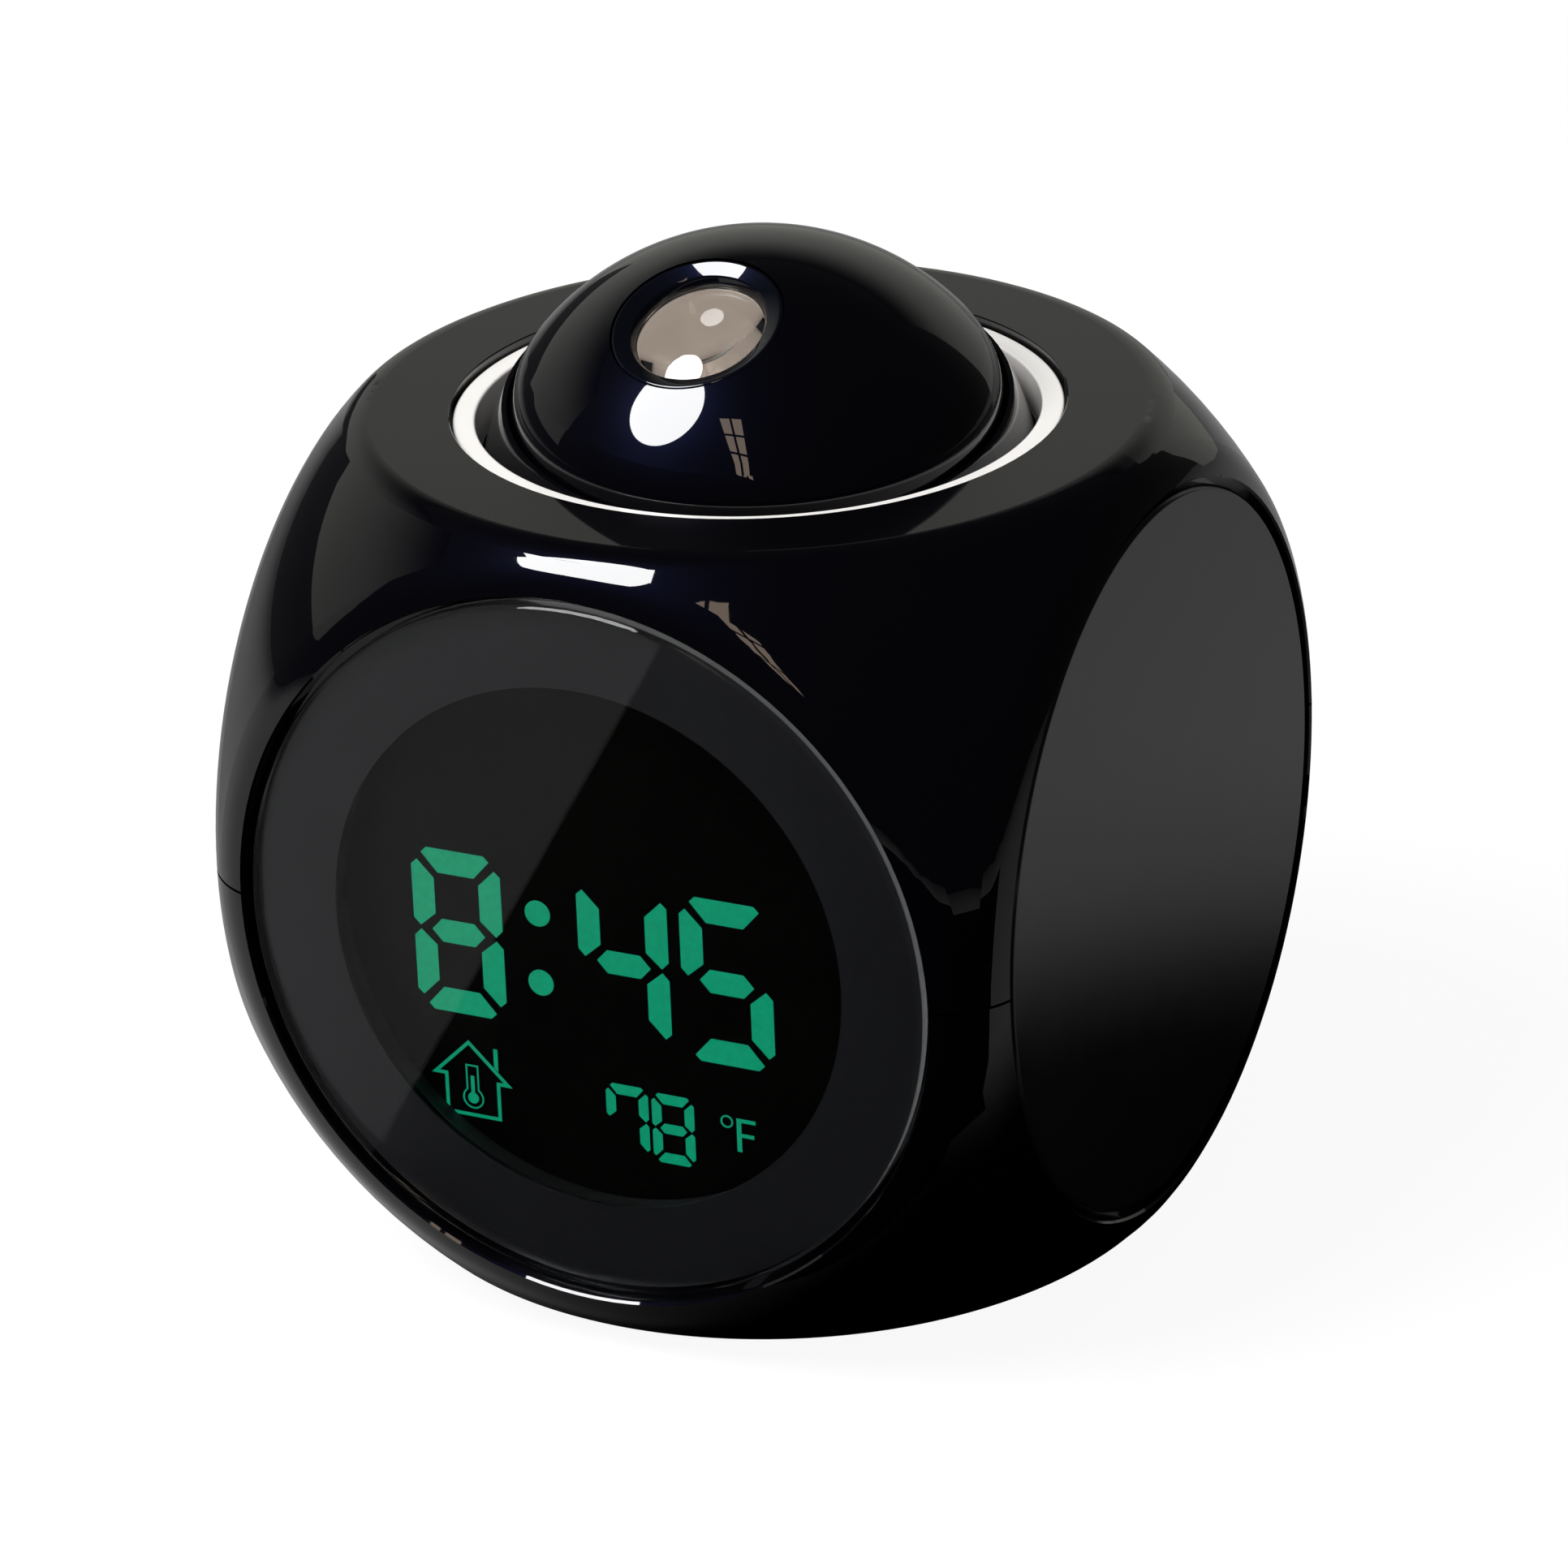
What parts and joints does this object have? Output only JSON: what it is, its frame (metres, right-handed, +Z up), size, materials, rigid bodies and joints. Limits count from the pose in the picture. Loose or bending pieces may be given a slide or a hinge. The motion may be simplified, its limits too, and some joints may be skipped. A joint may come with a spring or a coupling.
{
  "type": "projection alarm clock",
  "caption": "Rounded cube alarm clock with a round window, a white ring on top and a leaning projector ball that presses, turns and tilts.",
  "frame": {"origin": "on the table, under the middle of the clock's box", "axes": "+Z up, -Y towards the reader of the display (front), +X to the clock's right as the reader sees it"},
  "size_m": [0.089, 0.0894, 0.1052],
  "materials": {
    "gloss_black": "glossy black",
    "ball_black": "glossy black",
    "window_clear": "clear acrylic with a light smoke tint",
    "border_print": "dark blue-grey print on the back of the window",
    "disc_grey": "dark grey, satin to glossy",
    "ring_white": "glossy white",
    "inner_black": "plain moulded black",
    "display_black": "negative liquid crystal display",
    "backlight_white": "milky light guide",
    "board_green": "green solder mask",
    "component_dark": "moulded component bodies",
    "steel": "zinc-plated steel",
    "spring_steel": "nickel-plated steel",
    "cable_grey": "grey flat cable",
    "lead_red": "soft red insulation",
    "cone_black": "pressed film cone",
    "bezel_grey": "semi-gloss black bezel",
    "lens_clear": "clear domed lens",
    "slide_film": "small time display that the lamp shines through",
    "door_black": "black, satin",
    "cell_blue": "plain printed sleeve",
    "rubber_black": "soft black rubber",
    "button_grey": "satin dark grey"
  },
  "bodies": {
    "housing": {"upper_shell": "gloss_black", "lower_shell": "gloss_black", "front_window": "window_clear", "window_border": "border_print", "left_disc": "disc_grey", "right_disc": "disc_grey", "rear_panel": "disc_grey", "top_ring": "ring_white", "display_frame": "inner_black", "display_glass": "display_black", "backlight": "backlight_white", "main_board": "board_green", "board_parts": "component_dark", "frame_screws": "steel", "ribbon_cable": "cable_grey", "button_board": "board_green", "button_switches": "component_dark", "temperature_sensor": "component_dark", "speaker_frame": "spring_steel", "speaker_cone": "cone_black", "ball_bracket": "inner_black", "bracket_screws": "steel", "snooze_switch": "component_dark", "return_spring": "spring_steel", "projector_lead": "lead_red", "cell_1": "cell_blue", "cell_2": "cell_blue", "cell_3": "cell_blue", "contact_front": "spring_steel", "contact_rear": "spring_steel", "battery_leads": "lead_red", "foot_1": "rubber_black", "foot_2": "rubber_black", "foot_3": "rubber_black", "foot_4": "rubber_black", "screw_1": "steel", "screw_2": "steel", "screw_3": "steel", "screw_4": "steel"},
    "cradle": {"ball_cradle": "inner_black"},
    "swivel": {"ball_seat": "inner_black"},
    "ball": {"ball_bowl": "ball_black", "dome_shell": "ball_black", "ball_screws": "steel", "lens_bezel": "bezel_grey", "projector_lens": "lens_clear", "lens_barrel": "inner_black", "picture_slide": "slide_film", "projector_lamp": "board_green"},
    "mode_button": {"button_mode": "button_grey"},
    "set_button": {"button_set": "button_grey"},
    "up_button": {"button_up": "button_grey"},
    "down_button": {"button_down": "button_grey"},
    "door": {"battery_door": "door_black"}
  },
  "joints": [
    {"name": "ball_press", "type": "slide", "parent": "housing", "child": "cradle", "axis": [0, 0, -1], "range_m": [0, 0.0012], "stiffness_N_per_m": 1200, "springref_m": -0.0012, "deforming": ["return_spring", "projector_lead"]},
    {"name": "ball_turn", "type": "hinge", "parent": "cradle", "child": "swivel", "pos_m": [0, 0, 0.077], "axis": [0, 0, 1], "range_deg": [-90, 90]},
    {"name": "ball_lean", "type": "hinge", "parent": "swivel", "child": "ball", "pos_m": [0, 0, 0.077], "axis": [0.8973, 0.4415, 0], "range_deg": [-22.4, 3.6]},
    {"name": "mode_press", "type": "slide", "parent": "housing", "child": "mode_button", "axis": [0, -1, 0], "range_m": [0, 0.0005], "stiffness_N_per_m": 400, "springref_m": -0.001},
    {"name": "set_press", "type": "slide", "parent": "housing", "child": "set_button", "axis": [0, -1, 0], "range_m": [0, 0.0005], "stiffness_N_per_m": 400, "springref_m": -0.001},
    {"name": "up_press", "type": "slide", "parent": "housing", "child": "up_button", "axis": [0, -1, 0], "range_m": [0, 0.0005], "stiffness_N_per_m": 400, "springref_m": -0.001},
    {"name": "down_press", "type": "slide", "parent": "housing", "child": "down_button", "axis": [0, -1, 0], "range_m": [0, 0.0005], "stiffness_N_per_m": 400, "springref_m": -0.001},
    {"name": "door_swing", "type": "hinge", "parent": "housing", "child": "door", "pos_m": [0, -0.0266, 0.001], "axis": [-1, 0, 0], "range_deg": [0, 75]}
  ]
}
